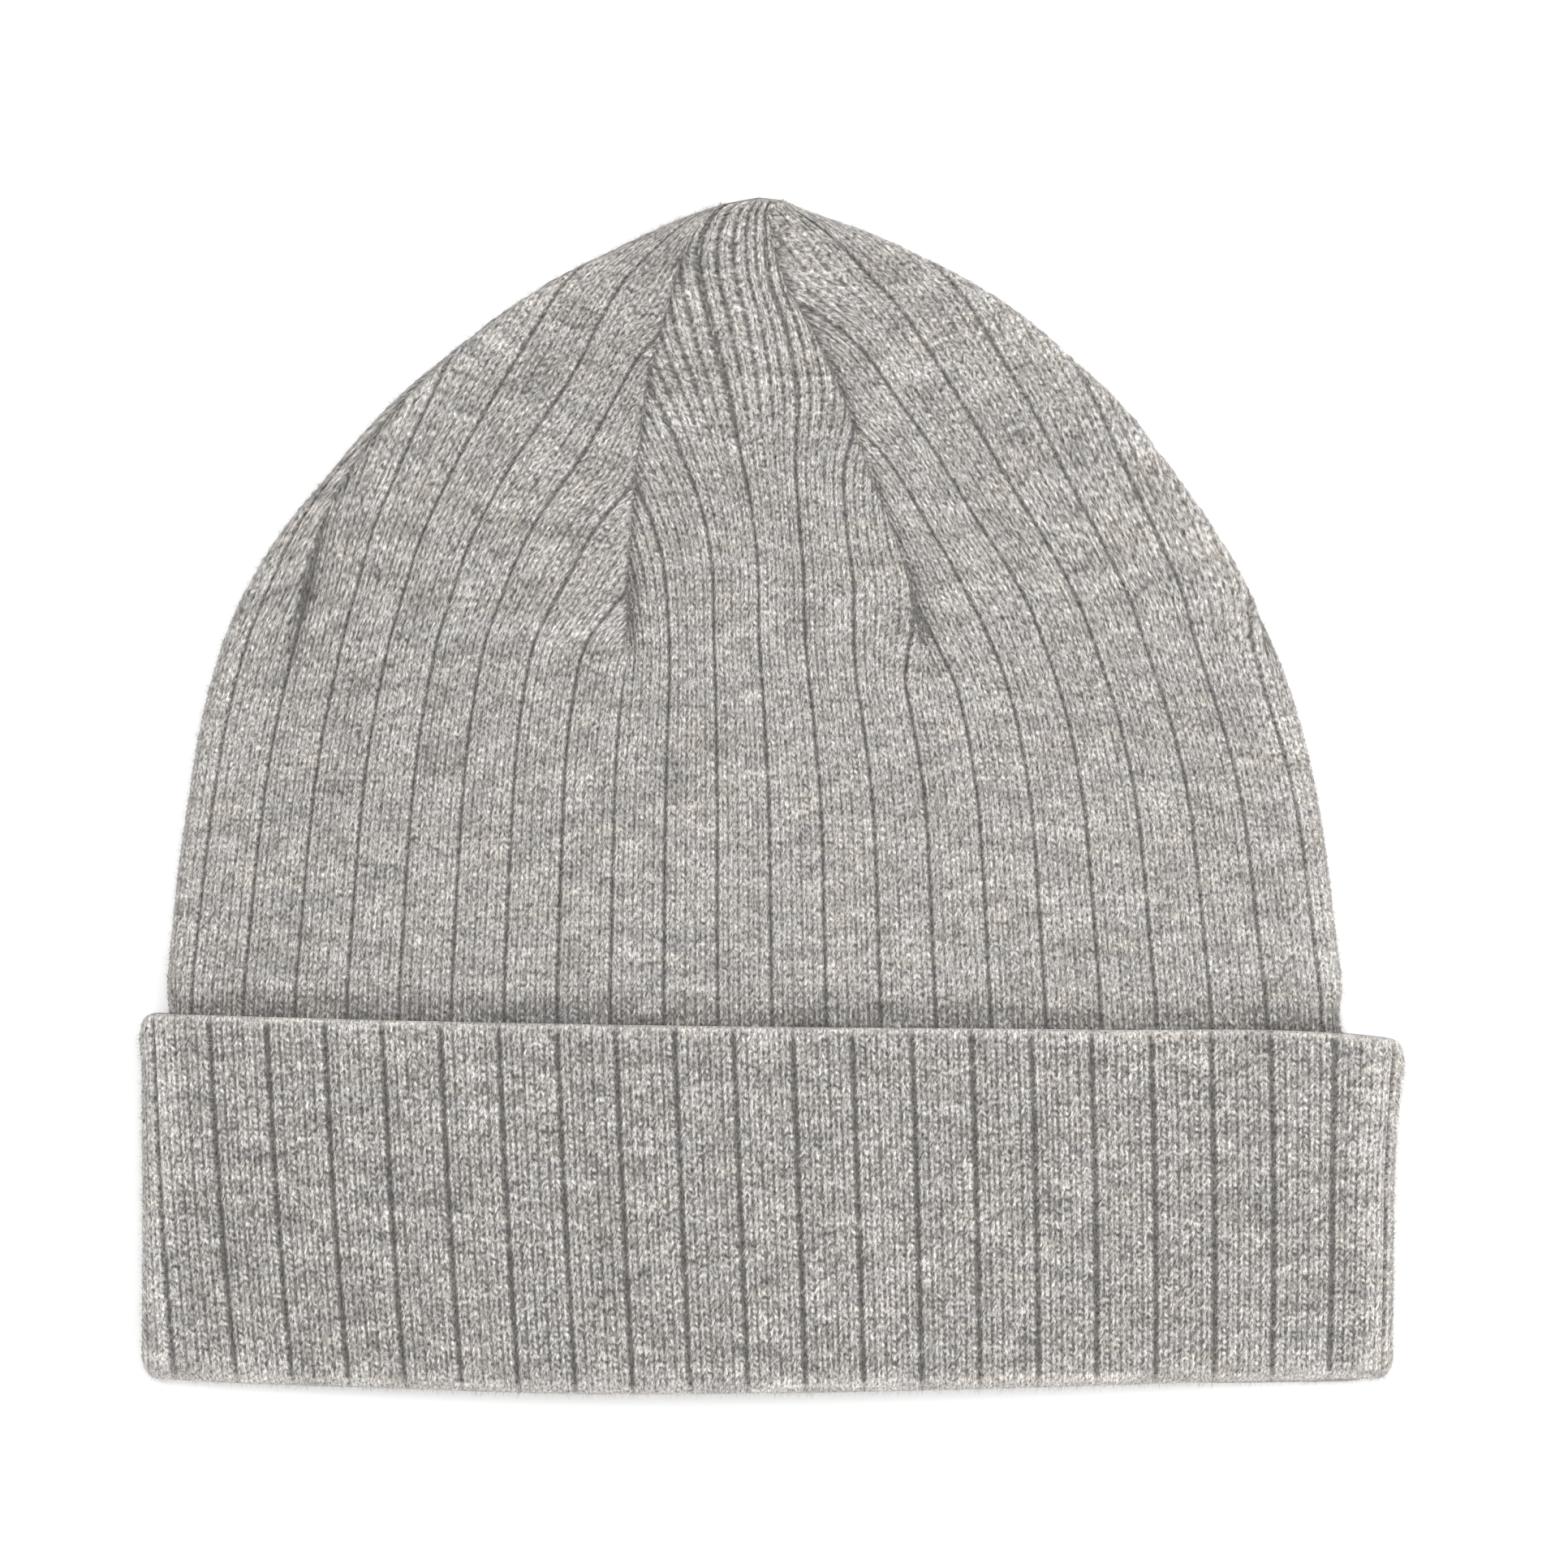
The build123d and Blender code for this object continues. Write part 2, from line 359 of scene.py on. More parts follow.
def dart_line(name, w, turn=0):
    """Distance round the body and height of a seam at a course height; turn adds a lap."""
    dart = DARTS[name]
    foot = dart["foot"] + turn * RIBS
    rows = [(SETTLED, float(level_lay(foot, SETTLED)), SETTLED)]
    for at, x, y in dart["line"]:
        section = body_section(y)
        s = float(section.wrap(x, dart["back"]))
        if dart["back"] and foot < 0 < s:
            s = s - 2 * float(section.half)
        if dart["back"] and foot > 0 > s:
            s = s + 2 * float(section.half)
        rows.append((at, s, y))
    return smooth(rows, w, 1), smooth(rows, w, 2)


def ribs_left(name, side, w, middle, turn=0):
    """The place, in ribs, at which a gore's stitches run into a seam.

    Where the seam gives none, the gore narrows to its middle on the way to the tip.
    """
    dart = DARTS[name]
    foot = dart["foot"] + turn * RIBS
    if side in dart:
        return smooth(dart[side], w)
    share = smoothstep(FAN, 2 * TIP_ROW - FAN, np.maximum(w, FAN)) * 2
    share = np.minimum(share ** 0.6, 1) * 0.96
    return foot + (middle - foot) * share


def gathered(out, most, room, pitch, w):
    """Share of the room between a gore's middle and its seam that lies inside a stitch.

    Just above the foot of a seam only the ribs next to it stretch; higher up all do.
    """
    pitch = pitch + (room / most - pitch) * smoothstep(GATHER_START, GATHER_END, w)
    near = np.exp(-np.maximum(most - out, 0) / STRETCH)
    far = np.exp(-most / STRETCH)
    return (pitch * out + (room - pitch * most) * (near - far) / (1 - far)) / room


class Lay:
    """Where the body's stitches lie, and how near each one is to a seam."""

    def __init__(self, ribs, w, skew):
        shape = (len(w), len(ribs))
        self.s = np.zeros(shape)
        self.y = np.zeros(shape)
        self.left_gap = np.full(shape, FAR_AWAY)
        self.right_gap = np.full(shape, FAR_AWAY)
        self.gore = np.zeros(shape, int)
        self.seam = np.full(shape, -1)
        row = np.repeat(w[:, None], len(ribs), axis=1)
        self.w = np.clip(row + skew[None, :], w[0], TIP_ROW)
        for n, name in enumerate(DART_NAMES):
            after = DART_NAMES[(n + 1) % len(DART_NAMES)]
            turn = 1 if n + 1 == len(DART_NAMES) else 0
            start = DARTS[name]["foot"]
            end = DARTS[after]["foot"] + turn * RIBS
            mine = np.flatnonzero((ribs >= start) & (ribs < end))
            self.fill(n, (name, after, turn, (start + end) / 2), ribs, row, mine)
        self.near = np.minimum(self.left_gap, self.right_gap)

    def fill(self, n, gore, ribs, row, columns):
        """Place the stitches of one gore, which takes up some of the columns."""
        here = np.ix_(np.arange(row.shape[0]), columns)
        u = np.broadcast_to(ribs[None, :], row.shape)[here]
        w = self.w[here]
        level = row[here]
        part, long, sa, ya, sb, yb = self.across(gore, u, w)
        s = sa + (sb - sa) * part
        y = ya + (yb - ya) * part
        # Low down the rows are level; from there they bend towards the gore's own shape, which
        # they reach sooner near a seam.
        near = np.minimum(part, 1 - part) * long
        blended = FAN + 8 + 16 * smoothstep(2, 20, near)
        blend = smoothstep(SETTLED, blended, w)
        s = level_lay(u, np.minimum(w, blended)) * (1 - blend) + s * blend
        y = w * (1 - blend) + y * blend
        below = w < SETTLED
        s = np.where(below, level_lay(u, w), s)
        y = np.where(below, w, y)
        # Past either seam, a stitch is on the seam, at its own course.
        even, _, sa, ya, sb, yb = self.across(gore, u, level)
        past_a = (even < AT_SEAM) & (level > FAN)
        past_b = (even > 1 - AT_SEAM) & (level > FAN)
        self.s[here] = np.where(past_a, sa, np.where(past_b, sb, s))
        self.y[here] = np.where(past_a, ya, np.where(past_b, yb, y))
        self.left_gap[here] = np.where(past_a, 0.0, np.clip(part, 0, 1) * long)
        self.right_gap[here] = np.where(past_b, 0.0, np.clip(1 - part, 0, 1) * long)
        self.gore[here] = n
        self.seam[here] = np.where(past_a, n, np.where(past_b, (n + 1) % len(DART_NAMES), -1))

    def across(self, gore, u, w):
        """Share of the way across a gore, the gore's width, and its two seams at a course."""
        name, after, turn, centre = gore
        middle, pitch, path = MIDDLES.get(name, (centre, PLAIN_RIB, [(134, 0.5), (216, 0.5)]))
        share = smooth(path, w)
        low = ribs_left(name, "right", w, middle)
        high = ribs_left(after, "left", w, middle, turn)
        sa, ya = dart_line(name, w)
        sb, yb = dart_line(after, w, turn)
        long = np.hypot(sb - sa, yb - ya)
        left = gathered(middle - u, middle - low, share * long, pitch, w)
        right = gathered(u - middle, high - middle, (1 - share) * long, pitch, w)
        part = np.where(u < middle, share * (1 - left), share + (1 - share) * right)
        return part, long, sa, ya, sb, yb


# ---- meshes ----

def ring_faces(ids, closed_tip=None, flip=False):
    """Quads over a grid of vertex numbers that closes on itself sideways."""
    beside = np.roll(ids, -1, axis=1)
    quads = np.stack([ids[:-1], beside[:-1], beside[1:], ids[1:]], axis=-1).reshape(-1, 4)
    faces = [quads]
    if closed_tip is not None:
        tip = np.full(ids.shape[1], closed_tip)
        faces.append(np.stack([ids[-1], beside[-1], tip, tip], axis=-1))
    faces = np.concatenate(faces)
    return faces[:, ::-1] if flip else faces


def grid_faces(ids, flip=False):
    """Quads over a grid of vertex numbers that is open on all four sides."""
    quads = np.stack([ids[:-1, :-1], ids[:-1, 1:], ids[1:, 1:], ids[1:, :-1]], axis=-1).reshape(-1, 4)
    return quads[:, ::-1] if flip else quads


def make_piece(name, points, faces, stitch, shade, body, material, merged=None):
    """A mesh piece from points in millimetres.

    merged gives, for each point, the point it is joined to. Repeated corners of a face are
    dropped. Stitch places and shades belong to face corners, so they can differ along a seam.
    """
    joined = np.arange(len(points)) if merged is None else merged
    corners = joined[faces]
    same = np.stack([corners[:, i] == corners[:, i - 1] for i in range(4)], axis=1)
    spare = same.sum(axis=1)
    quads = faces[spare == 0]
    threes = faces[spare == 1]
    threes = threes[~same[spare == 1]].reshape(-1, 3)
    order = np.concatenate([quads.ravel(), threes.ravel()])
    used = np.unique(joined[order])
    number = np.zeros(len(points), int)
    number[used] = np.arange(len(used))
    number = number[joined]
    moved = points[used] * MM
    moved[:, 1] -= HEIGHT / 2 * MM
    moved[:, 2] = np.maximum(moved[:, 2], 0.0)
    mesh = bpy.data.meshes.new(name)
    mesh.from_pydata(moved.tolist(), [], number[quads].tolist() + number[threes].tolist())
    stitches = mesh.attributes.new("stitch", "FLOAT_VECTOR", "CORNER")
    stitches.data.foreach_set("vector", stitch[order].ravel())
    shades = mesh.attributes.new("shade", "FLOAT", "CORNER")
    shades.data.foreach_set("value", shade[order])
    mesh.polygons.foreach_set("use_smooth", [True] * len(mesh.polygons))
    mesh.validate()
    mesh.materials.append(material)
    piece = bpy.data.objects.new(name, mesh)
    bpy.context.scene.collection.objects.link(piece)
    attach(piece, body)
    return piece


# ---- materials ----

def node(tree, kind, **settings):
    made = tree.nodes.new(kind)
    for key, value in settings.items():
        if key in made.inputs:
            made.inputs[key].default_value = value
        else:
            setattr(made, key, value)
    return made


def scaled(tree, source, across, along):
    """Stitch coordinates divided by a size across and a size along the wales."""
    sized = node(tree, "ShaderNodeVectorMath", operation="MULTIPLY")
    sized.inputs[1].default_value = (1 / across, 1 / along, 1.0)
    tree.links.new(source, sized.inputs[0])
    return sized.outputs[0]


def noise(tree, vector, detail=2.0, roughness=0.5, scale=1.0):
    made = node(tree, "ShaderNodeTexNoise", Scale=scale, Detail=detail, Roughness=roughness)
    tree.links.new(vector, made.inputs["Vector"])
    return made.outputs["Fac"]


def spread(tree, value, low, high, to_low, to_high):
    """The value, mapped from one range to another and held inside it."""
    made = node(tree, "ShaderNodeMapRange")
    made.inputs["From Min"].default_value = low
    made.inputs["From Max"].default_value = high
    made.inputs["To Min"].default_value = to_low
    made.inputs["To Max"].default_value = to_high
    tree.links.new(value, made.inputs["Value"])
    return made.outputs[0]


def combine(tree, operation, a, b):
    made = node(tree, "ShaderNodeMath", operation=operation)
    tree.links.new(a, made.inputs[0])
    tree.links.new(b, made.inputs[1])
    return made.outputs[0]


KNIT_GREY = (0.466, 0.443, 0.418)
THREAD_GREY = (0.38, 0.362, 0.341)
WARM = (1.017, 1.0, 0.974)          # the grey is tinted by these, in patches
COOL = (0.987, 1.0, 1.023)
BUMP_HEIGHT = 0.00022               # relief of the single fibres and plies, in metres


def heather_material(name, tone, roughness):
    """Melange yarn: fibres of several greys, in short streaks along the courses.

    The sizes given to scaled are in millimetres, across and along the wales. The last two
    numbers given to spread are the brightness that a layer gives at the ends of its range.
    """
    material = bpy.data.materials.new(name)
    material.use_nodes = True
    tree = material.node_tree
    shader = tree.nodes["Principled BSDF"]
    shader.inputs["Roughness"].default_value = roughness
    shader.inputs["Specular IOR Level"].default_value = 0.25
    shader.inputs["Sheen Weight"].default_value = 0.25
    shader.inputs["Sheen Roughness"].default_value = 0.55
    stitch = node(tree, "ShaderNodeAttribute", attribute_name="stitch").outputs["Vector"]
    shade = node(tree, "ShaderNodeAttribute", attribute_name="shade").outputs["Fac"]

    streak = noise(tree, scaled(tree, stitch, 9.0, 3.2), 2.0, 0.5)
    patch = noise(tree, scaled(tree, stitch, 22.0, 14.0), 1.0, 0.5)
    fleck = noise(tree, scaled(tree, stitch, 1.2, 0.9), 2.0, 0.6)
    fibre = noise(tree, scaled(tree, stitch, 0.32, 0.8), 3.0, 0.75)
    level = spread(tree, streak, 0.3, 0.7, 0.79, 1.21)
    level = combine(tree, "MULTIPLY", level, spread(tree, patch, 0.3, 0.7, 0.94, 1.06))
    level = combine(tree, "MULTIPLY", level, spread(tree, fleck, 0.25, 0.75, 0.93, 1.07))
    level = combine(tree, "MULTIPLY", level, spread(tree, fibre, 0.34, 0.62, 0.2, 1.42))
    # The shade attribute darkens or lightens the yarn: it holds painted shade in recesses and creases,
    # painted light at edges and folds, and the yarn's random tone.
    level = combine(tree, "MULTIPLY", level, spread(tree, shade, -0.5, 1.0, 1.42, 0.3))

    tint = node(tree, "ShaderNodeMix", data_type="RGBA")
    tint.inputs[6].default_value = tuple(a * b for a, b in zip(tone, WARM)) + (1,)
    tint.inputs[7].default_value = tuple(a * b for a, b in zip(tone, COOL)) + (1,)
    hue = noise(tree, scaled(tree, stitch, 13.0, 6.0), 2.0, 0.6)
    tree.links.new(spread(tree, hue, 0.35, 0.65, 0.0, 1.0), tint.inputs[0])
    coloured = node(tree, "ShaderNodeVectorMath", operation="SCALE")
    tree.links.new(tint.outputs[2], coloured.inputs[0])
    tree.links.new(level, coloured.inputs["Scale"])
    tree.links.new(coloured.outputs[0], shader.inputs["Base Color"])

    ply = node(tree, "ShaderNodeTexWave", Scale=1.0, Distortion=1.2, Detail=1.0)
    ply.bands_direction = "DIAGONAL"
    tree.links.new(scaled(tree, stitch, 3.4, 2.3), ply.inputs["Vector"])
    height = combine(tree, "ADD", fibre, spread(tree, ply.outputs["Fac"], 0.0, 1.0, 0.0, 0.45))
    bump = node(tree, "ShaderNodeBump", Strength=0.55, Distance=BUMP_HEIGHT)
    tree.links.new(height, bump.inputs["Height"])
    tree.links.new(bump.outputs[0], shader.inputs["Normal"])
    return material


def satin_material():
    """White satin tape: a fine warp with a soft sheen."""
    material = bpy.data.materials.new("white_satin")
    material.use_nodes = True
    tree = material.node_tree
    shader = tree.nodes["Principled BSDF"]
    shader.inputs["Roughness"].default_value = 0.38
    shader.inputs["Sheen Weight"].default_value = 0.2
    stitch = node(tree, "ShaderNodeAttribute", attribute_name="stitch").outputs["Vector"]
    warp = noise(tree, scaled(tree, stitch, 0.12, 2.5), 2.0, 0.5)
    tone = node(tree, "ShaderNodeMix", data_type="RGBA")
    tone.inputs[6].default_value = (0.72, 0.72, 0.70, 1)
    tone.inputs[7].default_value = (0.84, 0.84, 0.82, 1)
    tree.links.new(warp, tone.inputs[0])
    tree.links.new(tone.outputs[2], shader.inputs["Base Color"])
    bump = node(tree, "ShaderNodeBump", Strength=0.4, Distance=0.0001)
    tree.links.new(warp, bump.inputs["Height"])
    tree.links.new(bump.outputs[0], shader.inputs["Normal"])
    return material


knit = heather_material("heather_knit", KNIT_GREY, 0.92)
thread = heather_material("linking_yarn", THREAD_GREY, 0.85)
satin = satin_material()


# ---- the body of the hat ----

BODY_GROOVE = 0.045       # share of a rib that is the gap to the next
BODY_CROWN = 0.22         # a rib's sides lie this much below its middle
BODY_STITCH = 9.7         # width of a rib in stitch coordinates
INNER_STEP = 4 * COURSE   # the inside has a row every few courses
FEET = 139                # course height of the dimples at the feet of the seams
SEAM_ROLL = 0.4           # the cloth swells along the left side of a seam
SEAM_SINK = 0.95          # and sinks along its right side
MOST_SUNK = 1.5
ROPE_VALLEY = 0.45        # in the ropes the wales part from each other
ROPE_SMOOTH = 0.13        # and the notches between their stitches close
SWELL = 0.15              # depth of the body's gentle waves
OUTER_TIP = (SEAM_X, 215.3, 2.7)
INNER_TIP = (SEAM_X, 211.0, 2.7)


def rope_share(lay):
    """How far the wales between the two front seams are gathered into ropes."""
    middle_gore = lay.gore == DART_NAMES.index("dart_seam_front_left")
    above = smoothstep(160, 192, lay.w) * middle_gore
    beside = 0.6 * smoothstep(136, 150, lay.w) * np.exp(-lay.near / 7.0) * middle_gore
    return np.maximum(above, beside)


def pull_and_shade_seams(lay, depth, shade):
    """The linked seams pull the cloth in, and the left side of each rolls over it.

    At the foot of each seam is a dimple, where the first ribs are drawn together. The creases along the
    seams and the dimples are also painted darker: painted shade.
    """
    grown = smoothstep(131, 143, lay.w) * (1 - 0.6 * smoothstep(200, 212, lay.w))
    pucker = 1 + 0.35 * undulation(lay.w, 0 * lay.w, 6, 5)
    from_left = lay.left_gap
    from_right = lay.right_gap
    depth = depth + grown * SEAM_SINK * pucker * np.exp(-(from_left / 0.9) ** 2)
    depth = depth + grown * 0.6 * pucker * np.exp(-(from_right / 0.4) ** 2)
    depth = depth - grown * SEAM_ROLL * np.exp(-((from_right - 2.0) / 1.5) ** 2)
    foot = np.exp(-((lay.w - FEET) / 8) ** 2)
    dimple = foot * np.exp(-(from_left / 2.4) ** 2)
    depth = depth + 0.7 * dimple - 0.45 * foot * np.exp(-((from_right - 1.6) / 1.6) ** 2)
    depth = np.where(lay.seam >= 0, 0.3 + 0.9 * grown, np.minimum(depth, MOST_SUNK))
    crease_shade = np.exp(-(np.minimum(from_left / 0.9, from_right / 0.4)) ** 2)
    shade = shade + 0.55 * dimple + grown * 0.45 * pucker * crease_shade
    return depth, shade


def press_and_shadow_under_cuff(lay, section, ribs, depth, shade):
    """Under the cuff the body is pressed down, most of all along the cuff's edge, where a painted shadow
    of the cuff also darkens it.
    """
    edge = smooth(EDGE_LINE, section.middle + lay.s * section.reach / section.arch)
    covered = (1 - smoothstep(edge, edge + 8, lay.y)) * (np.abs(ribs) < SIDE_RIB)
    edge_crease_and_shadow = covered * smoothstep(edge - 6, edge - 1, lay.y)
    depth = depth + 0.7 * covered + 0.2 * edge_crease_and_shadow
    return depth, shade + 0.38 * edge_crease_and_shadow


def swell_and_light_folds(lay, section, depth, shade):
    """The side folds stand out, and their colour is made lighter: a painted highlight."""
    across = np.abs(lay.s) * section.reach / section.arch
    fold = smoothstep(section.reach - 9, section.reach + 1, across)
    fold = fold * (np.abs(lay.s) < section.arch + section.bend)
    depth = depth - FOLD_PUFF * fold * smoothstep(66, 74, lay.y)
    return depth, shade - 0.15 * fold


def body_outside(ribs, kinds):
    """The outside of the body: points, stitch places, shades and the points joined at seams."""
    w = np.arange(BODY_START, TIP_ROW + 0.01, ROW)
    number = np.arange(len(w))
    lay = Lay(ribs, w, SKEW[kinds])
    rope = rope_share(lay)
    lay.s = lay.s + rope * LEAN_IN[kinds] * (lay.near > 1.0)
    depth, shade = stitch_relief(kinds, ribs, number, BODY_CROWN)
    notch = (NOTCH_DEPTH[kinds] > 0) & (number % 2 == 1)[:, None]
    depth = depth + rope * (np.where(kinds == BORDER, ROPE_VALLEY, 0.0) - ROPE_SMOOTH * notch)
    depth = depth + SWELL * (1 + undulation(lay.s, lay.y, 45, 3))
    # The whole body is a little darker in tone. In the ropes the valleys between the wales get painted
    # shade, and the closed notches and the grooves get less of it.
    shade = shade + 0.05 - rope * 0.24 * notch
    shade = shade + rope * np.where(kinds == BORDER, 0.3, np.where(kinds == GROOVE, -0.25, 0.0))
    section = body_section(lay.y)
    depth, shade = pull_and_shade_seams(lay, depth, shade)
    depth, shade = press_and_shadow_under_cuff(lay, section, ribs, depth, shade)
    depth, shade = swell_and_light_folds(lay, section, depth, shade)
    x, z = section.place(lay.s, depth)
    points = np.stack([x, lay.y, z], axis=-1).reshape(-1, 3)

    # All the points of a row that lie on one seam are joined to the first of them.
    ids = np.arange(lay.s.size).reshape(lay.s.shape)
    merged = ids
    for n in range(len(DART_NAMES)):
        there = lay.seam == n
        keeper = ids[number, np.argmax(there, axis=1)]
        merged = np.where(there, keeper[:, None], merged)
    return points, ids, stitch_places(ribs, BODY_STITCH, lay.w), shade.ravel(), merged.ravel()


def body_inside(ribs):
    """The inside of the body: points, a grid of their numbers, and stitch places."""
    w = np.append(np.arange(BODY_START, TIP_ROW - 4, INNER_STEP), TIP_ROW - 2)
    lay = Lay(ribs, w, np.zeros(len(ribs)))
    low_down = 1 - smoothstep(204, 213, lay.y)
    x, z = body_section(lay.y).place(lay.s, LAYER * (0.8 + 0.2 * low_down) + 0.1)
    points = np.stack([x, lay.y - 1.0 * (1 - low_down), z], axis=-1).reshape(-1, 3)
    ids = np.arange(lay.s.size).reshape(lay.s.shape)
    return points, ids, stitch_places(ribs, BODY_STITCH, lay.w)


def make_body():
    """The doubled dome of knit, with its outside, its inside and its rim."""
    ribs, kinds = knit_columns(DARTS["back_seam"]["foot"], BODY_GROOVE)
    outer, ids, stitch, shade, merged = body_outside(ribs, kinds)
    inner, inner_ids, inner_stitch = body_inside(ribs)
    inner_ids = inner_ids + len(outer)
    # The two tips close the crown, and a strip round the rim joins outside and inside.
    outer_tip = len(outer) + len(inner)
    inner_tip = outer_tip + 1
    points = np.concatenate([outer, inner, [OUTER_TIP, INNER_TIP]])
    stitch = np.concatenate([stitch, inner_stitch, [(0, TIP_ROW, 0)] * 2])
    shade = np.concatenate([shade, np.full(len(inner), 0.35), np.full(2, 0.4)])
    merged = np.concatenate([merged, np.arange(len(outer), len(points))])
    faces = np.concatenate([
        ring_faces(ids, outer_tip),
        ring_faces(inner_ids, inner_tip, flip=True),
        ring_faces(np.stack([inner_ids[0], ids[0]])),
    ])
    return make_piece("rib_knit_body", points, faces, stitch, shade, "body", knit, merged)


body = make_body()
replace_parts(body, "knit_body")


# ---- the turned-up cuff ----

# The rim, as x and height; it bows down between its corners.
RIM_LINE = [
    (-114, 1.1), (-104, 0.6), (-66, -0.5), (-34, -1.3), (0, -1.1), (43, -0.3), (80, 0.6), (114, 1.0),
]
CUFF_TALL = 65.0          # course height of the free edge
CUFF_LIP = 3.7            # the turned rim closes on the body's own rim here
CUFF_CORNER = 3.2         # radius of the rim's corners
EDGE_CORNER = 3.0         # radius of the free edge's corners
RIM_ROUND = 2.35          # the rim is a fold of two layers
EDGE_ROUND = 1.1          # the free edge is round through its thickness
CUFF_GROOVE = 0.07        # the same three as for the body
CUFF_CROWN = 0.38
CUFF_STITCH = 9.9
CUFF_START = 500          # keeps the cuff's heather pattern apart from the body's
CUFF_SWELL = 0.18
EDGE_SWELL = 0.45         # the cuff stands out along its free edge
CUFF_SHIFT = 1.3          # in the middle of the front the ribs lie this far to the left
CUFF_DRIFT = 2.6          # towards the rim they drift this far to the right
CUFF_LEAN = 0.26          # and come nearer to the middle
# How far the right side stands out, by height above the rim.
CUFF_BULGE = [(0, -0.4), (20, -0.3), (38, -0.1), (54, 1.0), (66, 1.6)]

OUTSIDE, EDGE, INSIDE, LIP, RIM = range(5)
# How much of the stitch relief each part shows.
WORKED = np.array([1.0, 0.45, 0.0, 0.0, 0.75])


def cuff_low(x, under):
    """Height of the rim at a place across the hat; under is 1 on the back layer."""
    corner = np.clip(np.abs(x) - (CUFF_HALF_WIDTH - CUFF_CORNER), 0, CUFF_CORNER - 0.02)
    lift = CUFF_CORNER - np.sqrt(CUFF_CORNER ** 2 - corner ** 2)
    peek = 0.8 * smoothstep(66, 84, x) * (1 - smoothstep(104, 112, x))
    return smooth(RIM_LINE, x) + lift - peek * under


def cuff_high(x):
    """Height of the free edge at a place across the hat."""
    corner = np.clip(np.abs(x) - (CUFF_HALF_WIDTH - EDGE_CORNER), 0, EDGE_CORNER - 0.02)
    return smooth(EDGE_LINE, x) - (EDGE_CORNER - np.sqrt(EDGE_CORNER ** 2 - corner ** 2)) * 0.8


def cuff_rows():
    """Up the outside, round the free edge, down the inside, over the lip and round the rim.

    A row is its part, its offset from the edge or the rim, its share of the height, its depth
    below the outer surface, and its course height.
    """
    straight = CUFF_TALL - EDGE_ROUND - RIM_ROUND
    rows = []
    for at in np.arange(RIM_ROUND, CUFF_TALL - EDGE_ROUND, ROW):
        rows.append((OUTSIDE, 0.0, (at - RIM_ROUND) / straight, 0.0, at))
    for a in np.linspace(0, math.pi, 7)[1:]:
        course = CUFF_TALL - EDGE_ROUND + EDGE_ROUND * a
        rows.append((EDGE, -EDGE_ROUND * (1 - math.sin(a)), 1.0, EDGE_ROUND * (1 - math.cos(a)), course))
    for at in np.linspace(CUFF_LIP + 1.5, CUFF_TALL - EDGE_ROUND - 2, 16)[::-1]:
        rows.append((INSIDE, 0.0, (at - RIM_ROUND) / straight, LAYER, at))
    rows.append((LIP, 0.0, 0.0, LAYER, 4.0))
    rows.append((LIP, 0.0, 0.0, 2 * RIM_ROUND, 2.0))
    for a in np.linspace(0, math.pi, 15)[:0:-1]:
        course = RIM_ROUND * (1 - a)
        rows.append((RIM, RIM_ROUND * (1 - math.sin(a)), 0.0, RIM_ROUND * (1 - math.cos(a)), course))
    return np.array(rows)


def cuff_round(ribs, pitch, course):
    """Distance round the cuff of each stitch: the ribs lean and drift a little towards the rim."""
    low_part = np.clip(1 - course / CUFF_TALL, 0, 1)
    drift = CUFF_DRIFT * low_part - CUFF_LEAN * ribs * low_part ** 2 * (np.abs(ribs) < SIDE_RIB)
    drift = drift * (1 - smoothstep(9.5, 13, np.abs(ribs))[None, :])
    shift = CUFF_SHIFT * np.cos(math.pi * ribs / 20)[None, :] * (np.abs(ribs) < 10)
    return ribs[None, :] * pitch * 1.008 + 0.2 - shift + drift


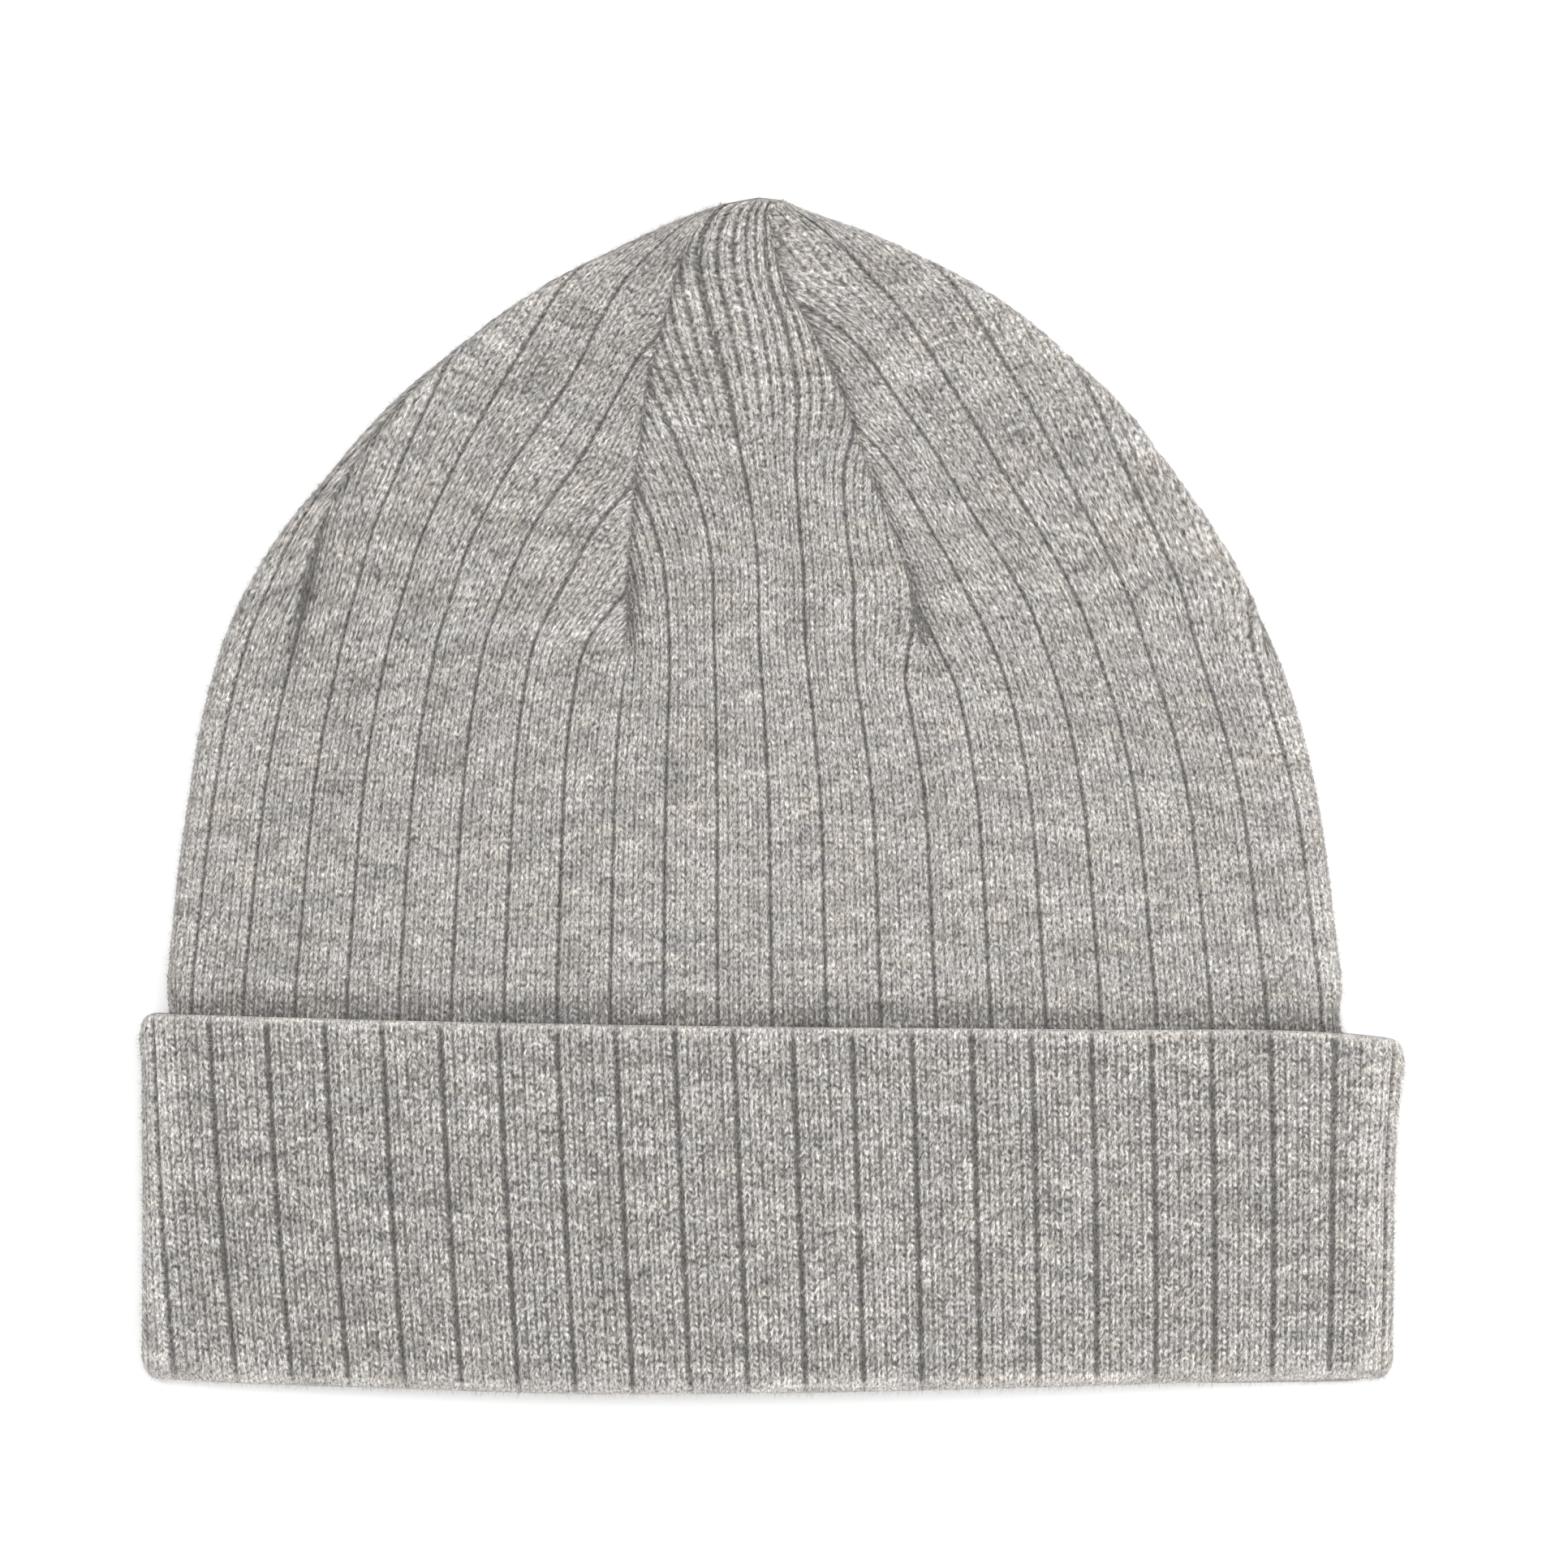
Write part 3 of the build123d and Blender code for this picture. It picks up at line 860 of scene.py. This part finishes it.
def make_cuff():
    """A flat tube of knit whose rows of points run once round its thickness."""
    ribs, kinds = knit_columns(-RIBS / 2, CUFF_GROOVE)
    section = Section(-CUFF_HALF_WIDTH, CUFF_HALF_WIDTH, 0.0, CUFF_SIDE, CUFF_TOP)
    rows = cuff_rows()
    part = rows[:, 0].astype(int)[:, None]
    offset, share, deep, course = [rows[:, i][:, None] for i in range(1, 5)]
    outside = part == OUTSIDE
    skew = np.where(outside, SKEW[kinds][None, :], 0.0)
    course = course + skew
    s = cuff_round(ribs, 2 * section.half / RIBS, course)

    worked = WORKED[part]
    relief, shade = stitch_relief(kinds, ribs, np.arange(len(rows)), CUFF_CROWN)
    depth = deep + relief * worked
    depth = depth + outside * CUFF_SWELL * (1 + undulation(s, course, 45, 8))
    depth = depth - outside * EDGE_SWELL * np.exp(-((course - CUFF_TALL + 3) / 3.0) ** 2)
    x, z = section.place(s, depth)

    under = (np.abs(s) > section.arch + section.bend * 0.5).astype(float)
    low = cuff_low(x, under)
    high = cuff_high(x)
    span = high - EDGE_ROUND - (low + RIM_ROUND)
    heights = {
        OUTSIDE: np.maximum(low + RIM_ROUND + share * span + skew, low + RIM_ROUND * 0.8),
        EDGE: high + offset,
        INSIDE: low + RIM_ROUND + share * span,
        LIP: np.maximum(CUFF_LIP, low + RIM_ROUND),
        RIM: low + offset,
    }
    y = sum(np.where(part == which, height, 0.0) for which, height in heights.items())
    x = x + smooth(CUFF_BULGE, np.clip(y, 0, 66)) * smoothstep(88, 112, x)

    # Painted light: the colour is made lighter along the free edge, round the rim and at the side folds.
    # The stitches' painted shade is also made stronger on the cuff.
    at_rim = np.exp(-(course / 3.0) ** 2)
    shade = (1.25 * shade + 0.03) * np.maximum(worked, 0.3)
    shade = shade - 0.2 * np.exp(-((course - CUFF_TALL + 0.8) / 1.6) ** 2)
    shade = shade * (1 - 0.45 * at_rim) - 0.12 * at_rim
    shade = shade - 0.35 * smoothstep(section.reach - 5, section.reach + 1, np.abs(x)) * outside

    points = np.stack([x, y, z], axis=-1).reshape(-1, 3)
    ids = np.arange(x.size).reshape(x.shape)
    faces = ring_faces(np.concatenate([ids, ids[:1]]))
    stitch = stitch_places(ribs, CUFF_STITCH, course, CUFF_START)
    return make_piece("rib_knit_cuff", points, faces, stitch, shade.ravel(), "cuff", knit)


cuff = make_cuff()
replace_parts(cuff, "turned_up_cuff")


# ---- loose fibres ----

FIBRE_ROOT = 0.15         # a fibre starts this far inside the knit
FIBRE_RADIUS = 0.03
FIBRE_SHORT = 0.4
FIBRE_LONG = 1.5
# A spike: three points round its root, three round its middle, and its tip.
SPIKE_POINTS = 7
SPIKE_FACES = [
    (0, 1, 4, 3), (1, 2, 5, 4), (2, 0, 3, 5),
    (3, 4, 6, 6), (4, 5, 6, 6), (5, 3, 6, 6), (2, 1, 0, 0),
]
# The fibres are painted light: as light as the knit gets, for the lit haze along the outline.
FIBRE_SHADE = -0.5        # as light as the knit gets


def unit(vectors):
    return vectors / np.linalg.norm(vectors, axis=-1, keepdims=True)


def make_fuzz(name, piece, count, body_name, seed):
    """Loose fibre ends along the outline of a knit piece: thin, bent spikes, each of them closed."""
    source = np.random.default_rng(seed)
    mesh = piece.data
    spots = np.zeros(len(mesh.vertices) * 3)
    facing = np.zeros(spots.size)
    mesh.vertices.foreach_get("co", spots)
    mesh.vertex_normals.foreach_get("vector", facing)
    spots = spots.reshape(-1, 3) / MM
    facing = facing.reshape(-1, 3)
    outward = unit(spots[:, :2])
    at_outline = np.flatnonzero((facing[:, :2] * outward).sum(axis=1) > 0.7)
    picked = source.choice(at_outline, count)
    spots[:, 1] += HEIGHT / 2
    lean = unit(facing[picked] + source.normal(0.0, 0.5, (count, 3)))
    aside = unit(np.cross(lean, (0.0, 0.0, 1.0)))
    over = np.cross(lean, aside)
    length = source.uniform(FIBRE_SHORT, FIBRE_LONG, (count, 1)) + FIBRE_ROOT
    sway = source.normal(0.0, 0.3, (count, 2)) * length
    root = spots[picked] - FIBRE_ROOT * facing[picked]
    middle = root + lean * length * 0.6
    tip = root + lean * length + aside * sway[:, :1] + over * sway[:, 1:]
    corners = []
    for centre, radius in ((root, FIBRE_RADIUS), (middle, FIBRE_RADIUS * 0.8)):
        for angle in np.arange(3) * 2 * math.pi / 3:
            corners.append(centre + radius * (math.cos(angle) * aside + math.sin(angle) * over))
    points = np.stack(corners + [tip], axis=1).reshape(-1, 3)
    faces = np.array(SPIKE_FACES)[None] + SPIKE_POINTS * np.arange(count)[:, None, None]
    faces = faces.reshape(-1, 4)
    shade = np.full(len(points), FIBRE_SHADE)
    make_piece(name, points, faces, points, shade, body_name, knit)


make_fuzz("body_fibres", body, 4800, "body", 21)
make_fuzz("cuff_fibres", cuff, 3700, "cuff", 22)


# ---- seams, tie and label ----

STITCH_PITCH = 1.25       # of the linking chain
CHAIN_WIDTH = 1.7
CHAIN_YARN = 0.27         # radius
TIE_YARN = 0.32
LABEL_GAP = 0.05          # from the CAD label's faces to the satin
SATIN = 0.14              # thickness of the satin


def tube_loops(centres, radius, sides=6):
    """Closed tubes round closed centre lines; centres is loops x points x 3."""
    ahead = unit(np.roll(centres, -1, axis=1) - np.roll(centres, 1, axis=1))
    out = centres - centres.mean(axis=1, keepdims=True)
    out = unit(out - (out * ahead).sum(axis=-1, keepdims=True) * ahead)
    over = np.cross(ahead, out)
    angle = np.arange(sides) * 2 * math.pi / sides
    ring = np.cos(angle)[:, None] * out[..., None, :] + np.sin(angle)[:, None] * over[..., None, :]
    points = centres[..., None, :] + radius * ring
    loops, steps = centres.shape[:2]
    number = np.arange(loops * steps * sides).reshape(loops, steps, sides)
    onward = np.roll(number, -1, axis=1)
    quads = np.stack([number, onward, np.roll(onward, -1, axis=2), np.roll(number, -1, axis=2)], axis=-1)
    return points.reshape(-1, 3), quads.reshape(-1, 4)


def chain(line, normal):
    """Interlocked loops of yarn along a line, as a linking machine leaves them."""
    steps = np.linalg.norm(np.diff(line, axis=0), axis=1)
    run = np.concatenate([[0], np.cumsum(steps)])
    at = np.arange(STITCH_PITCH, run[-1] - STITCH_PITCH / 2, STITCH_PITCH)
    place = np.stack([np.interp(at, run, line[:, i]) for i in range(3)], axis=1)
    facing = np.stack([np.interp(at, run, normal[:, i]) for i in range(3)], axis=1)
    ahead = unit(np.gradient(place, axis=0))
    facing = unit(facing - (facing * ahead).sum(axis=1, keepdims=True) * ahead)
    aside = np.cross(ahead, facing)
    t = np.arange(12) * 2 * math.pi / 12
    centres = place[:, None] + ahead[:, None] * (np.cos(t) * STITCH_PITCH * 0.85)[None, :, None]
    centres = centres + aside[:, None] * (np.sin(t) * CHAIN_WIDTH / 2)[None, :, None]
    centres = centres + facing[:, None] * (np.cos(t) * 0.25)[None, :, None]
    return tube_loops(centres, CHAIN_YARN)


def make_seam(name, line, normal, body_name):
    points, faces = chain(line, normal)
    shade = np.full(len(points), 0.2)
    return make_piece(name, points, faces, points, shade, body_name, thread)


def make_body_seams():
    """A chain on the inside of each seam of the body; the back seam runs down to the rim."""
    for name, dart in DARTS.items():
        low = BODY_START + 2 if name == "back_seam" else FAN + 3
        w = np.arange(low, TIP_ROW - 10, 1.0)
        s, y = dart_line(name, w)
        plain = w < SETTLED
        s = np.where(plain, level_lay(dart["foot"], w), s)
        y = np.where(plain, w, y)
        section = body_section(y)
        x, z = section.place(s, LAYER + 0.45)
        outer_x, outer_z = section.place(s, 0.0)
        line = np.stack([x, y, z], axis=1)
        normal = np.stack([outer_x - x, np.zeros_like(y), outer_z - z], axis=1)
        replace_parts(make_seam("linked_" + name, line, normal, "body"), name)


def make_cuff_seam():
    """The back seam where it runs on, on the inside of the cuff's back layer."""
    y = np.arange(6.0, 61.0, 1.0)
    line = np.stack([np.full_like(y, SEAM_X), y, np.full_like(y, LAYER - 0.25)], axis=1)
    normal = np.tile((0.0, 0.0, -1.0), (len(y), 1))
    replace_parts(make_seam("linked_cuff_seam", line, normal, "cuff"), "cuff_back_seam")


def make_crown_tie():
    """The yarn that gathers the last stitches, wound round the tip."""
    t = np.arange(40) * 2 * math.pi / 40
    loops = []
    for y, wide, tall in [(210.2, 4.4, 1.5), (211.2, 3.6, 1.4), (212.1, 2.8, 1.2)]:
        x = -2.2 + wide * np.cos(t)
        z = 2.7 + tall * np.sin(t) + 0.12 * np.cos(5 * t)
        loops.append(np.stack([x, y + 0.25 * np.sin(3 * t), z], axis=1))
    points, faces = tube_loops(np.array(loops), TIE_YARN)
    shade = np.full(len(points), 0.1)
    tie = make_piece("gathering_yarn", points, faces, points, shade, "body", knit)
    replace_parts(tie, "crown_tie")


def make_label():
    """A blank satin care label, folded over and caught in the back seam."""
    low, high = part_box("care_label")
    x0, x1 = low[0] / MM, high[0] / MM
    y0, y1 = low[1] / MM + HEIGHT / 2, high[1] / MM + HEIGHT / 2
    z0, z1 = low[2] / MM, high[2] / MM
    # Once round the folded strip: along the lower ply, round the fold, back on the upper one.
    r = (z1 - z0) / 2 - LABEL_GAP
    strip = [(x0 + (x1 - x0 - r) * t, z0 + LABEL_GAP) for t in np.linspace(0, 1, 24)]
    for a in np.linspace(0, math.pi, 9)[1:-1]:
        strip.append((x1 - r + r * math.sin(a), z0 + LABEL_GAP + r - r * math.cos(a)))
    strip += [(x0 + (x1 - x0 - r) * t, z1 - LABEL_GAP) for t in np.linspace(1, 0, 24)]
    x, z = np.array(strip).T
    y = y0 + (y1 - y0) * np.linspace(0, 1, 40)[:, None]
    x, y, z = np.broadcast_arrays(x[None, :], y, z[None, :])
    wavy = z + 0.12 * np.sin(y / 5.0) * np.clip((x - x0) / 10.0, 0, 1)
    inward = np.sign((z0 + z1) / 2 - z)
    outer = np.stack([x, y, wavy], axis=-1)
    inner = np.stack([x - 0.12 * (x > x1 - r), y, wavy + SATIN * inward], axis=-1)
    points = np.concatenate([outer.reshape(-1, 3), inner.reshape(-1, 3)])
    ids = np.arange(x.size).reshape(x.shape)
    border = np.concatenate([ids[0, :], ids[1:, -1], ids[-1, -2::-1], ids[-2:0:-1, 0]])
    edge = np.stack([border, border + ids.size], axis=0)
    edge = np.stack([edge[0], edge[1], np.roll(edge[1], -1), np.roll(edge[0], -1)], axis=-1)
    faces = np.concatenate([grid_faces(ids, flip=True), grid_faces(ids + ids.size), edge])
    shade = np.zeros(len(points))
    label = make_piece("blank_care_label", points, faces, points, shade, "body", satin)
    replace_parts(label, "care_label")


make_body_seams()
make_cuff_seam()
make_crown_tie()
make_label()


# ---- floor, light and camera ----

FLOOR_HALF = 4.0          # half the side of the square floor
FLOOR_WHITE = (0.93, 0.93, 0.93, 1)
# Two square soft lights, facing the middle of the hat: power in watts, side and place in metres.
LIGHTS = {
    "key": (14.2, 0.7, (-0.15, 0.2, 1.5)),
    "fill": (9.5, 0.9, (0.8, -0.1, 1.0)),
}
SURROUND = 0.62           # strength of the white light from all round
CAMERA_PLACE = (0.0028, 0.0012, 1.4275)    # nearly above the middle, looking straight down
FOCAL_LENGTH = 180.0
SENSOR_WIDTH = 36.0


def make_floor():
    mesh = bpy.data.meshes.new("floor")
    half = FLOOR_HALF
    corners = [(-half, -half, 0), (half, -half, 0), (half, half, 0), (-half, half, 0)]
    mesh.from_pydata(corners, [], [(0, 1, 2, 3)])
    floor = bpy.data.objects.new("floor", mesh)
    material = bpy.data.materials.new("pale_floor")
    material.use_nodes = True
    shader = material.node_tree.nodes["Principled BSDF"]
    shader.inputs["Base Color"].default_value = FLOOR_WHITE
    shader.inputs["Roughness"].default_value = 0.9
    shader.inputs["Specular IOR Level"].default_value = 0.1
    mesh.materials.append(material)
    bpy.context.scene.collection.objects.link(floor)


def make_light(name, power, size, place):
    data = bpy.data.lights.new(name, "AREA")
    data.energy = power
    data.size = size
    light = bpy.data.objects.new(name, data)
    light.location = place
    yaw = math.atan2(-place[1], -place[0])
    tilt = math.acos(place[2] / np.linalg.norm(place))
    light.rotation_euler = (tilt, 0, yaw - math.pi / 2)
    bpy.context.scene.collection.objects.link(light)


def make_surround():
    world = bpy.data.worlds.new("studio")
    world.use_nodes = True
    background = world.node_tree.nodes["Background"]
    background.inputs["Color"].default_value = (1, 1, 1, 1)
    background.inputs["Strength"].default_value = SURROUND
    bpy.context.scene.world = world
    bpy.context.scene.view_settings.view_transform = "Standard"


def make_camera():
    lens = bpy.data.cameras.new("camera")
    lens.lens = FOCAL_LENGTH
    lens.sensor_width = SENSOR_WIDTH
    camera = bpy.data.objects.new("camera", lens)
    camera.location = CAMERA_PLACE
    bpy.context.scene.collection.objects.link(camera)
    bpy.context.scene.camera = camera


make_floor()
for light_name, settings in LIGHTS.items():
    make_light(light_name, *settings)
make_surround()
make_camera()
